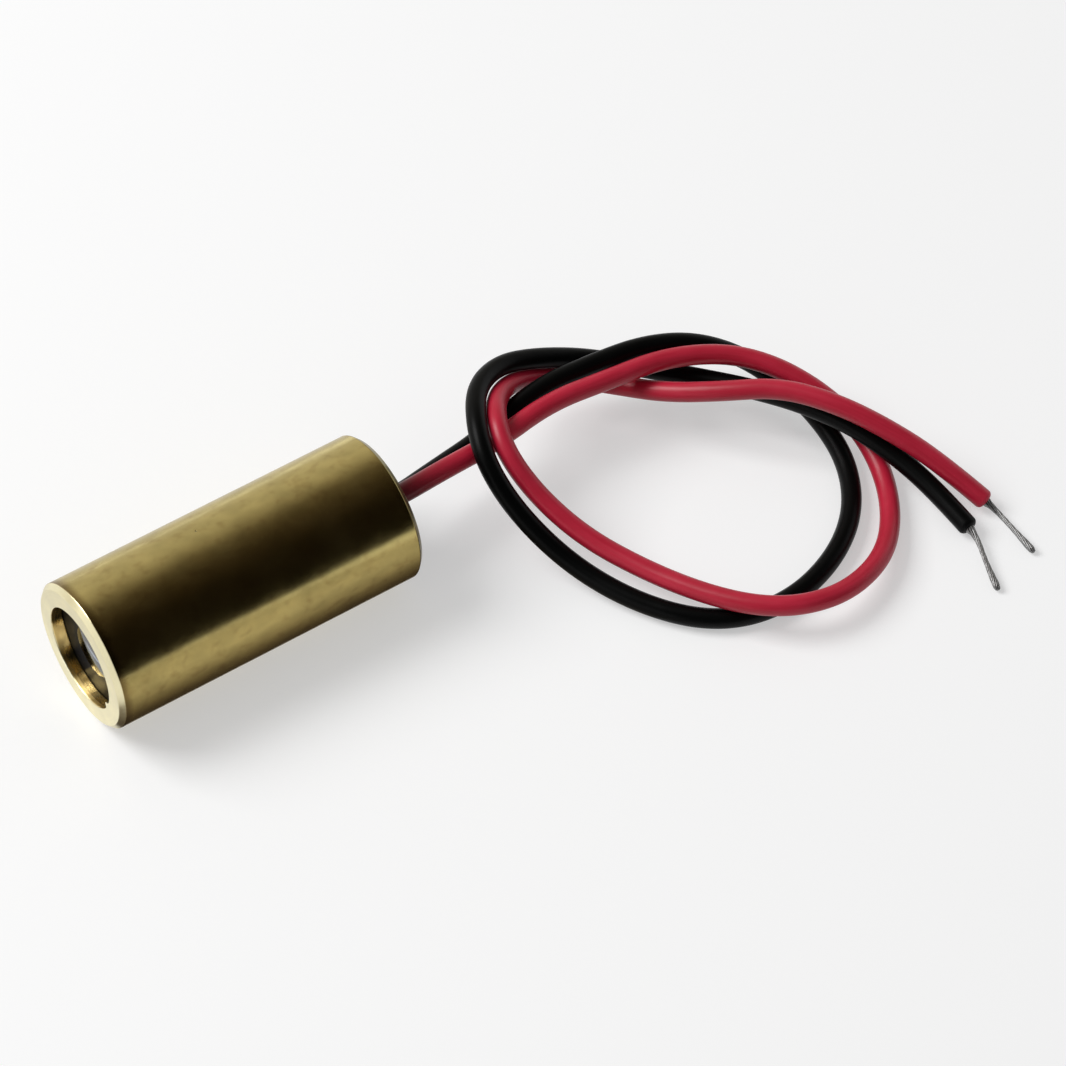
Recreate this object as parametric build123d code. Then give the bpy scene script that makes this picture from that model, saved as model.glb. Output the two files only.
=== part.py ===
# Laser diode module: a turned brass barrel with a moulded lens behind its front lip, a can laser diode in
# a pressed-in holder, a driver board potted in at the rear, and two leads tied in one loose knot.
# Millimetres, +Z up. The origin is on the optical axis, half way along the barrel, which lies on its side:
# the beam leaves along -Y and the leads leave along +Y. The table is half a barrel below the axis.
from build123d import *
from math import atan2, cos, pi, radians, sin, sqrt, tan
import os

# Barrel
BARREL_OD = 9.0
BARREL_LENGTH = 20.0
BARREL_WALL = 0.95
LIP_REACH = 0.43
LIP_THICK = 0.8
EDGE_CHAMFER = 0.3
MOUTH_CHAMFER = 0.2

# Lens and spacer, which slide into the bore from the rear. The front dome fills a share of the aperture, and
# the rear dome reaches a share of the spacer.
SLIDE_GAP = 0.05
LENS_EDGE = 1.4
FRONT_DOME_SHARE = 0.5
FRONT_DOME_SAG = 0.08
REAR_DOME_SHARE = 0.4
DOME_GAP = 0.1
SPACER_WALL = 0.75

# Laser diode can, with its front face set back in the holder
HOLDER_WALL = 0.75
CAP_RECESS = 0.2
CAP_HEIGHT = 2.3
CAP_DIA = 3.55
CAP_WALL = 0.15
CAP_RIM_DIA = 4.3
CAP_RIM_THICK = 0.25
CAP_GAP = 0.1
BEAM_HOLE_DIA = 1.6
WINDOW_THICK = 0.25
WINDOW_GAP = 0.1
HEADER_THICK = 1.2
HEADER_RECESS = 0.5
INDEX_NOTCH = 0.4

# Chips inside the can
POST_WIDTH = 1.2
POST_LENGTH = 1.4
POST_GAP = 0.2
SUBMOUNT_WIDTH = 0.8
SUBMOUNT_THICK = 0.25
SUBMOUNT_LENGTH = 0.8
CHIP_WIDTH = 0.25
CHIP_THICK = 0.1
CHIP_LENGTH = 0.3
MONITOR_SIDE = 0.7
MONITOR_THICK = 0.2
MONITOR_DROP = 0.4

# Legs of the diode, on a circle, a quarter turn apart
PIN_DIA = 0.45
PIN_CIRCLE = 2.0
PIN_LENGTH = 2.4
PIN_STUB = 0.35
SEAL_DIA = 0.8

# Driver board, which slides between the legs; its roll is the angle at which the barrel came to lie
BOARD_ROLL = 35.0
BOARD_SIDE_GAP = 0.85
BOARD_GAP = 0.3
BOARD_EMBED = 0.6
PART_GAP = 0.2
PAD_THICK = 0.05
PAD_MARGIN = 0.15
SOLDER_FILM = 0.03
SOLDER_SPREAD = 0.25
SOLDER_COVER = 0.1

# Parts on the board
TRANSISTOR_WIDTH = 2.0
TRANSISTOR_DEPTH = 1.25
TRANSISTOR_HEIGHT = 0.9
TRANSISTOR_FOOT = 0.1
LEG_PITCH = 1.3
LEG_WIDTH = 0.25
LEG_THICK = 0.12
LEG_REACH = 0.42
LEG_FOOT = 0.2
CHIP_EDGE_MARGIN = 0.75
RESISTOR_LENGTH = 1.0
RESISTOR_WIDTH = 0.5
RESISTOR_HEIGHT = 0.35
CAPACITOR_LENGTH = 1.4
CAPACITOR_WIDTH = 0.8
CAPACITOR_HEIGHT = 0.7
TERMINAL_LENGTH = 0.25

# Resin plug at the rear
POTTING_RECESS = 0.5
MENISCUS = 0.25

# Leads
LEAD_OD = 1.2
CORE_DIA = 0.35
CORE_LAP = 1.8
JOINT_LENGTH = 1.3
LEAD_STANDOFF = 0.8
LEAD_COVER = 2.1
LEAD_KNEE = 0.9
BEND_SHARE = 0.45
TIP_NECK = 0.6

# Routes of the two leads behind the barrel, and of their bare tips
RED_ROUTE = [
    (-0.1, 14.4, 0.2), (-0.2, 18.0, 0.1), (-0.2, 21.9, 0.0), (-0.3, 25.9, -0.1), (-0.3, 29.8, -0.2),
    (0.9, 33.1, -0.6), (2.8, 35.2, -1.1), (5.2, 36.7, -1.9), (7.7, 37.6, -2.9), (10.8, 37.4, -3.6),
    (14.1, 35.9, -3.8), (16.9, 33.3, -3.3), (18.2, 29.9, -2.8), (18.0, 26.8, -2.3), (16.4, 24.5, -2.4),
    (13.6, 22.6, -2.7), (10.2, 20.9, -2.8), (6.8, 19.3, -2.3), (3.7, 18.2, -1.0), (1.4, 17.7, 0.9),
    (-0.5, 18.3, 1.7), (-2.6, 19.9, 1.2), (-3.7, 22.0, 0.0), (-3.3, 24.6, -1.2), (-1.5, 27.0, -1.8),
    (1.1, 28.9, -1.3), (3.5, 31.2, -0.4), (5.5, 33.8, 0.2), (8.1, 35.8, 0.1), (10.8, 37.6, -0.7),
    (13.7, 39.4, -2.1), (16.6, 40.8, -3.8),
]
BLACK_ROUTE = [
    (-1.2, 14.3, -1.0), (-1.6, 18.0, -0.8), (-1.7, 22.0, -0.4), (-1.8, 26.1, -0.2), (-1.8, 29.4, -0.3),
    (-1.1, 32.4, -1.0), (0.6, 34.7, -2.1), (3.3, 36.0, -3.0), (6.4, 36.4, -3.5), (9.7, 35.9, -3.8),
    (12.8, 34.1, -3.8), (15.0, 31.3, -3.8), (16.2, 27.8, -3.8), (16.0, 24.5, -3.8), (14.4, 21.8, -3.8),
    (11.2, 19.6, -3.8), (7.5, 18.0, -3.3), (4.2, 16.7, -1.4), (1.7, 16.1, 0.9), (-0.7, 16.9, 1.8),
    (-3.4, 18.7, 1.3), (-5.1, 21.3, 0.1), (-5.3, 24.1, -1.0), (-4.1, 26.8, -1.7), (-1.9, 29.2, -2.0),
    (0.8, 31.6, -2.0), (3.5, 33.7, -1.8), (6.3, 35.4, -1.6), (9.3, 36.9, -1.8), (12.2, 38.0, -2.6),
    (15.0, 38.6, -3.3), (17.7, 38.8, -3.8),
]
RED_TIP = [(19.0, 41.0, -4.1), (20.9, 41.0, -4.2)]
BLACK_TIP = [(20.2, 38.1, -4.0), (22.0, 37.6, -4.2)]

# Places along the barrel. The lens follows the front face, the driver and the diode follow the rear one, and
# the spacer takes up the length between them.
FRONT = -BARREL_LENGTH / 2
REAR = BARREL_LENGTH / 2
LIP_BACK = FRONT + LIP_THICK
LENS_BACK = LIP_BACK + LENS_EDGE
POTTING_BACK = REAR - POTTING_RECESS
LEAD_START = POTTING_BACK - LEAD_COVER
BOARD_BACK = LEAD_START - LEAD_STANDOFF
POTTING_FRONT = BOARD_BACK - BOARD_EMBED
CORE_END = BOARD_BACK - CORE_LAP
TRANSISTOR_SPAN = TRANSISTOR_DEPTH + 2 * LEG_REACH
TRANSISTOR_Y = CORE_END - PART_GAP - TRANSISTOR_SPAN / 2
PIN_END = TRANSISTOR_Y - TRANSISTOR_SPAN / 2 - PART_GAP
HEADER_BACK = PIN_END - PIN_LENGTH
HEADER_FRONT = HEADER_BACK - HEADER_THICK
HOLDER_BACK = HEADER_BACK + HEADER_RECESS
BOARD_FRONT = HOLDER_BACK + BOARD_GAP
CAP_FRONT = HEADER_FRONT - CAP_HEIGHT
HOLDER_FRONT = CAP_FRONT - CAP_RECESS

# Sizes that follow from the fits
BORE_R = BARREL_OD / 2 - BARREL_WALL
APERTURE_R = BORE_R - LIP_REACH
SLIDE_R = BORE_R - SLIDE_GAP
SPACER_BORE_R = SLIDE_R - SPACER_WALL
REAR_DOME_SAG = REAR_DOME_SHARE * (HOLDER_FRONT - LENS_BACK)
HEADER_R = BORE_R - HOLDER_WALL
CAP_BORE_R = CAP_DIA / 2 - CAP_WALL
POST_REACH = CAP_BORE_R - POST_GAP
PIN_R = PIN_DIA / 2
PIN_OFFSET = PIN_CIRCLE / 2 / sqrt(2)
CORE_R = CORE_DIA / 2
WIRE_SEAT = PAD_THICK + SOLDER_FILM
BOARD_HALF = PIN_OFFSET - PIN_R - WIRE_SEAT
BOARD_SIDE = BORE_R - BOARD_SIDE_GAP
PAD_TOP = BOARD_HALF + PAD_THICK
LEAD_OFFSET = BOARD_HALF + WIRE_SEAT + CORE_R

# The diode's post points between two legs, so the diode is turned by half a quarter turn from the board
DIODE_TURN = Rot(0, BOARD_ROLL + 45, 0)
TOP_FACE = Rot(0, BOARD_ROLL, 0)
BOTTOM_FACE = Rot(0, BOARD_ROLL + 180, 0)


def turned(*profile):
    """Solid of revolution about the optical axis, from edges or (radius, y) corners."""
    edges = list(profile)
    if isinstance(edges[0], tuple):
        edges = [Polyline(*edges, close=True)]
    return revolve(make_face(edges), Axis.Y)


def rod(radius, start, end, x=0.0, z=0.0):
    """Round bar along Y between two places."""
    middle = Pos(x, (start + end) / 2, z)
    return middle * Rot(90, 0, 0) * Cylinder(radius, end - start)


def block(x0, x1, y0, y1, z0, z1):
    """Box between two corners."""
    return Pos((x0 + x1) / 2, (y0 + y1) / 2, (z0 + z1) / 2) * Box(x1 - x0, y1 - y0, z1 - z0)


def dome(rim_radius, rim_y, apex_y):
    """Arc of a spherical face, from its rim to the optical axis."""
    sag = abs(apex_y - rim_y)
    radius = (rim_radius**2 + sag**2) / (2 * sag)
    way = 1 if apex_y > rim_y else -1
    half = atan2(rim_radius, radius - sag) / 2
    middle = (radius * sin(half), apex_y - way * radius * (1 - cos(half)))
    return ThreePointArc((rim_radius, rim_y), middle, (0, apex_y))


def group(solids):
    """Like solids that share one node."""
    return Compound(children=list(solids))


def make_barrel():
    outer = BARREL_OD / 2
    return turned(
        (APERTURE_R, FRONT), (outer - EDGE_CHAMFER, FRONT), (outer, FRONT + EDGE_CHAMFER),
        (outer, REAR - EDGE_CHAMFER), (outer - EDGE_CHAMFER, REAR), (BORE_R + MOUTH_CHAMFER, REAR),
        (BORE_R, REAR - MOUTH_CHAMFER), (BORE_R, LIP_BACK), (APERTURE_R, LIP_BACK),
    )


def make_lens():
    front_rim = FRONT_DOME_SHARE * APERTURE_R
    rear_rim = SPACER_BORE_R - DOME_GAP
    front_apex = LIP_BACK - FRONT_DOME_SAG
    rear_apex = LENS_BACK + REAR_DOME_SAG
    edge = Polyline((front_rim, LIP_BACK), (SLIDE_R, LIP_BACK), (SLIDE_R, LENS_BACK), (rear_rim, LENS_BACK))
    axis = Line((0, rear_apex), (0, front_apex))
    return turned(dome(front_rim, LIP_BACK, front_apex), edge, dome(rear_rim, LENS_BACK, rear_apex), axis)


def make_spacer():
    return turned(
        (SPACER_BORE_R, LENS_BACK), (SLIDE_R, LENS_BACK), (SLIDE_R, HOLDER_FRONT),
        (SPACER_BORE_R, HOLDER_FRONT),
    )


def make_holder():
    cap_hole = CAP_RIM_DIA / 2 + CAP_GAP
    return turned(
        (cap_hole, HOLDER_FRONT), (BORE_R, HOLDER_FRONT), (BORE_R, HOLDER_BACK), (HEADER_R, HOLDER_BACK),
        (HEADER_R, HEADER_FRONT), (cap_hole, HEADER_FRONT),
    )


def make_header():
    disc = rod(HEADER_R, HEADER_FRONT, HEADER_BACK)
    for side in (-1, 1):
        disc -= rod(SEAL_DIA / 2, HEADER_FRONT, HEADER_BACK, x=side * PIN_CIRCLE / 2)
    half_notch = INDEX_NOTCH / 2
    notch_floor = HEADER_R - INDEX_NOTCH
    disc -= block(-half_notch, half_notch, HEADER_FRONT, HEADER_BACK, -HEADER_R, -notch_floor)
    post_foot = CHIP_THICK / 2 + SUBMOUNT_THICK
    half_post = POST_WIDTH / 2
    post = block(-half_post, half_post, HEADER_FRONT - POST_LENGTH, HEADER_FRONT, post_foot, POST_REACH)
    return DIODE_TURN * (disc + post)


def make_cap():
    outer = CAP_DIA / 2
    rim = CAP_RIM_DIA / 2
    hole = BEAM_HOLE_DIA / 2
    crown = CAP_FRONT + CAP_WALL
    return turned(
        (rim, HEADER_FRONT), (rim, HEADER_FRONT - CAP_RIM_THICK), (outer, HEADER_FRONT - CAP_RIM_THICK),
        (outer, CAP_FRONT), (hole, CAP_FRONT), (hole, crown), (CAP_BORE_R, crown), (CAP_BORE_R, HEADER_FRONT),
    )


def make_window():
    crown = CAP_FRONT + CAP_WALL
    return rod(CAP_BORE_R - WINDOW_GAP, crown, crown + WINDOW_THICK)


def make_submount():
    front = HEADER_FRONT - POST_LENGTH
    half = SUBMOUNT_WIDTH / 2
    low = CHIP_THICK / 2
    return DIODE_TURN * block(-half, half, front, front + SUBMOUNT_LENGTH, low, low + SUBMOUNT_THICK)


def make_laser_chip():
    front = HEADER_FRONT - POST_LENGTH
    half = CHIP_WIDTH / 2
    return DIODE_TURN * block(-half, half, front, front + CHIP_LENGTH, -CHIP_THICK / 2, CHIP_THICK / 2)


def make_monitor():
    half = MONITOR_SIDE / 2
    front = HEADER_FRONT - MONITOR_THICK
    return DIODE_TURN * block(-half, half, front, HEADER_FRONT, -MONITOR_DROP - half, -MONITOR_DROP + half)


def make_through_pin(side):
    """Leg that passes through a glass seal, to one side of the post."""
    return DIODE_TURN * rod(PIN_R, HEADER_FRONT - PIN_STUB, PIN_END, x=side * PIN_CIRCLE / 2)


def make_common_pin():
    """Leg welded to the back of the header, opposite the post."""
    return DIODE_TURN * rod(PIN_R, HEADER_BACK, PIN_END, z=-PIN_CIRCLE / 2)


def make_seals():
    seals = []
    for side in (-1, 1):
        x = side * PIN_CIRCLE / 2
        bead = rod(SEAL_DIA / 2, HEADER_FRONT, HEADER_BACK, x=x)
        seals.append(DIODE_TURN * (bead - rod(PIN_R, HEADER_FRONT, HEADER_BACK, x=x)))
    return group(seals)


def make_board():
    return TOP_FACE * block(-BOARD_SIDE, BOARD_SIDE, BOARD_FRONT, BOARD_BACK, -BOARD_HALF, BOARD_HALF)


# What is soldered to each face, as (face, x, first y, last y, wire radius)
PIN_JOINT_SPAN = (BOARD_FRONT + PAD_MARGIN, PIN_END)
LEAD_JOINT_SPAN = (CORE_END, CORE_END + JOINT_LENGTH)
JOINTS = [
    (TOP_FACE, -PIN_OFFSET, *PIN_JOINT_SPAN, PIN_R),
    (BOTTOM_FACE, -PIN_OFFSET, *PIN_JOINT_SPAN, PIN_R),
    (BOTTOM_FACE, PIN_OFFSET, *PIN_JOINT_SPAN, PIN_R),
    (TOP_FACE, 0.0, *LEAD_JOINT_SPAN, CORE_R),
    (BOTTOM_FACE, 0.0, *LEAD_JOINT_SPAN, CORE_R),
]

# Places of the parts on the board
CHIP_X = BOARD_SIDE - CHIP_EDGE_MARGIN
PIN_ROW = sum(PIN_JOINT_SPAN) / 2
LEAD_ROW = sum(LEAD_JOINT_SPAN) / 2
RESISTOR = (RESISTOR_LENGTH, RESISTOR_WIDTH, RESISTOR_HEIGHT)
CAPACITOR = (CAPACITOR_LENGTH, CAPACITOR_WIDTH, CAPACITOR_HEIGHT)
RESISTORS = [
    (TOP_FACE, CHIP_X, PIN_ROW, *RESISTOR),
    (TOP_FACE, CHIP_X, LEAD_ROW, *RESISTOR),
    (TOP_FACE, -CHIP_X, LEAD_ROW, *RESISTOR),
]
CAPACITORS = [(BOTTOM_FACE, CHIP_X, LEAD_ROW, *CAPACITOR)]


def chip_body(face, x, y, length, width, height):
    """Ceramic middle of a chip part that lies along the board."""
    half = length / 2 - TERMINAL_LENGTH
    return face * block(x - width / 2, x + width / 2, y - half, y + half, PAD_TOP, PAD_TOP + height)


def chip_ends(face, x, y, length, width, height):
    """Metal ends of a chip part."""
    reach = length / 2
    inner = reach - TERMINAL_LENGTH
    left, right = x - width / 2, x + width / 2
    spans = [(y - reach, y - inner), (y + inner, y + reach)]
    return [face * block(left, right, y0, y1, PAD_TOP, PAD_TOP + height) for y0, y1 in spans]


def leg_places():
    """Where each transistor leg starts, and which way it runs: two to the front, one to the rear."""
    front = TRANSISTOR_Y - TRANSISTOR_DEPTH / 2
    rear = TRANSISTOR_Y + TRANSISTOR_DEPTH / 2
    return [(-LEG_PITCH / 2, front, -1), (LEG_PITCH / 2, front, -1), (0.0, rear, 1)]


def make_transistor(face):
    foot = PAD_TOP + TRANSISTOR_FOOT
    body = Box(TRANSISTOR_WIDTH, TRANSISTOR_DEPTH, TRANSISTOR_HEIGHT)
    return face * Pos(0, TRANSISTOR_Y, foot + TRANSISTOR_HEIGHT / 2) * body


def transistor_leg(face, x, start, way):
    """Strip that leaves the body at half its height, drops to the pad and ends in a flat foot."""
    high = PAD_TOP + TRANSISTOR_FOOT + TRANSISTOR_HEIGHT / 2
    knee = LEG_REACH - LEG_FOOT
    left, right = x - LEG_WIDTH / 2, x + LEG_WIDTH / 2

    def strip(near, far, low, top):
        y0, y1 = sorted((start + way * near, start + way * far))
        return block(left, right, y0, y1, low, top)

    shoulder = strip(0, knee, high - LEG_THICK, high)
    drop = strip(knee - LEG_THICK, knee, PAD_TOP, high)
    foot = strip(knee - LEG_THICK, LEG_REACH, PAD_TOP, PAD_TOP + LEG_THICK)
    return face * (shoulder + drop + foot)


def make_pads():
    """Copper pads under the solder joints, the chip ends and the transistor legs."""
    pads = []

    def pad(face, x0, x1, y0, y1):
        pads.append(face * block(x0, x1, y0, y1, BOARD_HALF, PAD_TOP))

    for face, x, y0, y1, radius in JOINTS:
        half = radius + SOLDER_SPREAD
        pad(face, x - half, x + half, y0, y1)
    for face, x, y, length, width, _ in RESISTORS + CAPACITORS:
        for side in (-1, 1):
            y0, y1 = sorted((y + side * length / 2, y + side * (length / 2 - TERMINAL_LENGTH)))
            pad(face, x - width / 2, x + width / 2, y0, y1)
    for face in (TOP_FACE, BOTTOM_FACE):
        for x, start, way in leg_places():
            y0, y1 = sorted((start + way * (LEG_REACH - LEG_FOOT - LEG_THICK), start + way * LEG_REACH))
            pad(face, x - LEG_WIDTH / 2, x + LEG_WIDTH / 2, y0, y1)
    return group(pads)


def make_joint(face, x, y0, y1, radius):
    """Bank of solder over a wire that lies on its pad."""
    wire_z = PAD_TOP + SOLDER_FILM + radius
    crest = wire_z + radius + SOLDER_COVER
    foot = radius + SOLDER_SPREAD
    corners = [(x - foot, PAD_TOP), (x + foot, PAD_TOP), (x + radius, crest), (x - radius, crest)]
    outline = Plane.XZ.offset(-y0) * make_face(Polyline(*corners, close=True))
    bank = extrude(outline, -(y1 - y0))
    return face * (bank - rod(radius, y0, y1, x=x, z=wire_z))


def make_core(face):
    """Stripped inner end of a lead, on its pad."""
    return face * rod(CORE_R, CORE_END, LEAD_START, z=LEAD_OFFSET)


def make_potting(around):
    """Resin plug with a hollow rear face, moulded around what it holds."""
    edge = Polyline((0, POTTING_FRONT), (BORE_R, POTTING_FRONT), (BORE_R, POTTING_BACK))
    hollow = POTTING_BACK - MENISCUS
    plug = turned(edge, dome(BORE_R, POTTING_BACK, hollow), Line((0, hollow), (0, POTTING_FRONT)))
    for face in (TOP_FACE, BOTTOM_FACE):
        plug -= face * rod(LEAD_OD / 2, LEAD_START, REAR, z=LEAD_OFFSET)
    for piece in around:
        plug -= piece
    return plug


def smooth_path(points):
    """Straight runs joined by arcs that are as large as the runs leave room for."""
    corners = [Vector(*p) for p in points]
    radii = []
    for before, corner, after in zip(corners, corners[1:], corners[2:]):
        arriving, leaving = corner - before, after - corner
        shorter = min(arriving.length, leaving.length)
        radii.append(BEND_SHARE * shorter / tan(radians(arriving.get_angle(leaving)) / 2))
    return FilletPolyline(*corners, radius=radii), radii


def tube(name, points, diameter):
    """Round cord along a route, with its radii and the check of its volume printed."""
    path, radii = smooth_path(points)
    solid = sweep(Plane(origin=path @ 0, z_dir=path % 0) * Circle(diameter / 2), path=path)
    share = solid.volume / (pi * diameter**2 / 4 * path.length)
    print(f"{name}: length {path.length:.2f}, volume over section times length {share:.4f}")
    print("  radii", [round(r, 1) for r in radii])
    return solid


def lead_points(face, route):
    """A lead's whole route: straight out of the resin, then through the knot."""
    start = (face * Pos(0, LEAD_START, LEAD_OFFSET)).position
    knee = (face * Pos(0, REAR + LEAD_KNEE, LEAD_OFFSET)).position
    return [tuple(start), tuple(knee), *route]


def tip_points(route, tip):
    """A tip's route: on in the lead's own direction for a short neck, then as it is bent."""
    end = Vector(*route[-1])
    ahead = (end - Vector(*route[-2])).normalized()
    return [tuple(end), tuple(end + ahead * TIP_NECK), *tip]


board = make_board()
pads = make_pads()
joints = group(make_joint(*joint) for joint in JOINTS)
resistors = group(chip_body(*chip) for chip in RESISTORS)
capacitor = chip_body(*CAPACITORS[0])
terminals = group(end for chip in RESISTORS + CAPACITORS for end in chip_ends(*chip))
red_core = make_core(TOP_FACE)
black_core = make_core(BOTTOM_FACE)
on_board = [pads, joints, resistors, capacitor, terminals, red_core, black_core]

nodes = {
    "barrel": make_barrel(),
    "collimating_lens": make_lens(),
    "lens_spacer": make_spacer(),
    "diode_holder": make_holder(),
    "diode_header": make_header(),
    "diode_cap": make_cap(),
    "diode_window": make_window(),
    "laser_submount": make_submount(),
    "laser_chip": make_laser_chip(),
    "monitor_photodiode": make_monitor(),
    "laser_pin": make_through_pin(1),
    "monitor_pin": make_through_pin(-1),
    "common_pin": make_common_pin(),
    "pin_seals": make_seals(),
    "driver_board": board,
    "copper_pads": pads,
    "drive_transistor": make_transistor(TOP_FACE),
    "control_transistor": make_transistor(BOTTOM_FACE),
    "transistor_legs": group(
        transistor_leg(face, *place) for face in (TOP_FACE, BOTTOM_FACE) for place in leg_places()
    ),
    "chip_resistors": resistors,
    "filter_capacitor": capacitor,
    "chip_terminals": terminals,
    "solder_joints": joints,
    "red_core": red_core,
    "black_core": black_core,
    "rear_potting": make_potting([board, *on_board]),
    "red_lead": tube("red_lead", lead_points(TOP_FACE, RED_ROUTE), LEAD_OD),
    "black_lead": tube("black_lead", lead_points(BOTTOM_FACE, BLACK_ROUTE), LEAD_OD),
    "red_tip": tube("red_tip", tip_points(RED_ROUTE, RED_TIP), CORE_DIA),
    "black_tip": tube("black_tip", tip_points(BLACK_ROUTE, BLACK_TIP), CORE_DIA),
}

os.makedirs("parts", exist_ok=True)
for name, solid in nodes.items():
    export_step(solid, f"parts/{name}.step")
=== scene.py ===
from math import atan2, cos, exp, hypot, pi, radians, sin, tau

import bmesh
import bpy
from mathutils import Matrix, Vector


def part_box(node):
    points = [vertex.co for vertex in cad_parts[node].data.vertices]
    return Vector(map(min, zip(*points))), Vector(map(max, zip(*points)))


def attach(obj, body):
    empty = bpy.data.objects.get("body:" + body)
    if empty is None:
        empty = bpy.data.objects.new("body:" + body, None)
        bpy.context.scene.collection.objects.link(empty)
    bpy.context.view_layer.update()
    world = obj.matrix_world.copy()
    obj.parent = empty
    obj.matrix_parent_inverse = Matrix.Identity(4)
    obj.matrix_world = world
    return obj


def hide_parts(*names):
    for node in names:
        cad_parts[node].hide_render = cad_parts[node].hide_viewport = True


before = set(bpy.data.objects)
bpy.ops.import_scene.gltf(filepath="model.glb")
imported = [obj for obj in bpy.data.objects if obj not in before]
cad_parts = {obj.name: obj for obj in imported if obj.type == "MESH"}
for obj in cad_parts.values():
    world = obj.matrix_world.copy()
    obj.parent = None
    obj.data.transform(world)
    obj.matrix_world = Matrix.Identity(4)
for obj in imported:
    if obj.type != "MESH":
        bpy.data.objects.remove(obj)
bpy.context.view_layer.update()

# Sizes in millimetres, as the model has them: radii from the optical axis, places along +Y
MM = 0.001
BARREL_LOW, BARREL_HIGH = (Vector(corner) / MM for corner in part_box("barrel"))
FRONT, REAR = BARREL_LOW.y, BARREL_HIGH.y
TABLE = BARREL_LOW.z
BARREL_R = 4.5
BORE_R = 3.55
APERTURE_R = 3.12
LIP_THICK = 0.8
LIP_BACK = FRONT + LIP_THICK
EDGE_CHAMFER = 0.3
MOUTH_CHAMFER = 0.2
BARREL_SEGMENTS = 256
LENS_R = 3.5
LENS_THICK = 1.4
LENS_BACK = LIP_BACK + LENS_THICK
LENS_SEGMENTS = 128
FRONT_DOME_SHARE = 0.5
FRONT_DOME_R = FRONT_DOME_SHARE * APERTURE_R
FRONT_DOME_SAG = 0.08
REAR_DOME_R = 2.65
REAR_DOME_SAG = 1.604
POTTING_FRONT = 6.0
POTTING_RECESS = 0.5
POTTING_BACK = REAR - POTTING_RECESS
MENISCUS = 0.25
WICK_HEIGHT = 0.3
WICK_REACH = 0.22
RIPPLE = 0.02
LEAD_R = 0.6
LEAD_AXIS = (0.377, 0.538)
LEAD_START = 7.4
LEAD_STRAIGHT = 0.9
LEAD_KNEE = REAR + LEAD_STRAIGHT
LEAD_STATIONS = 480
LEAD_SIDES = 28
CUT_ROUNDING = 0.3
CUT_STATIONS = 9

# Control points of the leads' lines, from inside the resin to the cut end
RED_ROUTE = [
    (LEAD_AXIS[0], LEAD_START, LEAD_AXIS[1]), (LEAD_AXIS[0], LEAD_KNEE, LEAD_AXIS[1]),
    (-0.1, 14.4, 0.2), (-0.3, 18.0, 0.05), (-0.91, 22.11, 0.28), (-0.69, 25.96, -0.04), (-0.4, 29.8, -0.22),
    (0.9, 33.1, -0.6), (2.8, 35.2, -1.1), (5.2, 36.7, -1.9), (7.7, 37.6, -2.9), (10.8, 37.4, -3.6),
    (14.1, 35.9, -3.8), (16.9, 33.3, -3.3), (18.2, 29.9, -2.8), (18.0, 26.8, -2.3), (16.4, 24.5, -2.4),
    (13.6, 22.6, -2.7), (10.2, 20.9, -2.8), (6.8, 19.3, -2.3), (3.73, 18.18, -0.96), (1.41, 17.58, 0.91),
    (-0.66, 18.21, 1.59), (-2.97, 19.9, 0.5), (-4.25, 22.22, -0.87), (-3.79, 25.02, -1.97),
    (-1.88, 27.26, -2.32), (1.1, 28.9, -1.3), (3.5, 31.2, -0.4), (5.5, 33.8, 0.2), (8.1, 35.8, 0.1),
    (10.8, 37.6, -0.7), (13.7, 39.4, -2.1), (16.6, 40.8, -3.8),
]
BLACK_ROUTE = [
    (-LEAD_AXIS[0], LEAD_START, -LEAD_AXIS[1]), (-LEAD_AXIS[0], LEAD_KNEE, -LEAD_AXIS[1]),
    (-1.2, 14.3, -1.0), (-1.79, 18.08, -1.11), (-2.61, 22.24, -0.25), (-2.26, 26.13, -0.12),
    (-1.93, 29.4, -0.28), (-1.1, 32.4, -1.0), (0.6, 34.7, -2.1), (3.3, 36.0, -3.0), (6.4, 36.4, -3.5),
    (9.7, 35.9, -3.8), (12.8, 34.1, -3.8), (15.0, 31.3, -3.8), (16.2, 27.8, -3.8), (16.0, 24.5, -3.8),
    (14.4, 21.8, -3.8), (11.2, 19.6, -3.8), (7.5, 18.0, -3.3), (4.2, 16.7, -1.4), (1.72, 16.1, 0.92),
    (-0.68, 16.89, 1.85), (-3.38, 18.67, 1.41), (-4.66, 21.09, 0.7), (-4.53, 23.57, -0.1),
    (-3.76, 26.53, -1.25), (-1.89, 29.16, -1.99), (0.8, 31.6, -2.0), (3.5, 33.7, -1.8), (6.3, 35.4, -1.6),
    (9.3, 36.9, -1.8), (12.2, 38.0, -2.6), (15.0, 38.6, -3.3), (17.7, 38.8, -3.8),
]
RED_TIP = [(19.0, 41.0, -4.1), (20.9, 41.0, -4.2)]
BLACK_TIP = [(20.2, 38.1, -4.0), (22.0, 37.6, -4.2)]
TIP_NECK = 0.6
TIP_ROOT = 0.3
TIP_R = 0.29
TIP_STRANDS = 7
TIP_TURNS = 1.1
TIP_STATIONS = 140

# A tip's girth along its length, as a share of its widest, and its strands and solder as shares of it
WAIST = [(0.0, 1.0), (0.06, 1.0), (0.12, 0.78), (0.2, 0.64), (0.34, 0.54), (0.5, 0.52), (0.66, 0.57),
         (0.82, 0.7), (0.93, 0.74), (0.975, 0.6), (1.0, 0.25)]
STRAND_LAY = 0.6
STRAND_GIRTH = 0.4
STRAND_SIDES = 10
SOLDER_GIRTH = 0.86

# The burr on the aperture's edge
BURR_TURN = radians(115.0)
BURR_SPREAD = radians(4.5)
BURR_REACH = 3.0
BURR_DEPTH = 0.3
BURR_HEIGHT = 0.25
BURR_EDGE = 0.1


# Node trees

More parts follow.
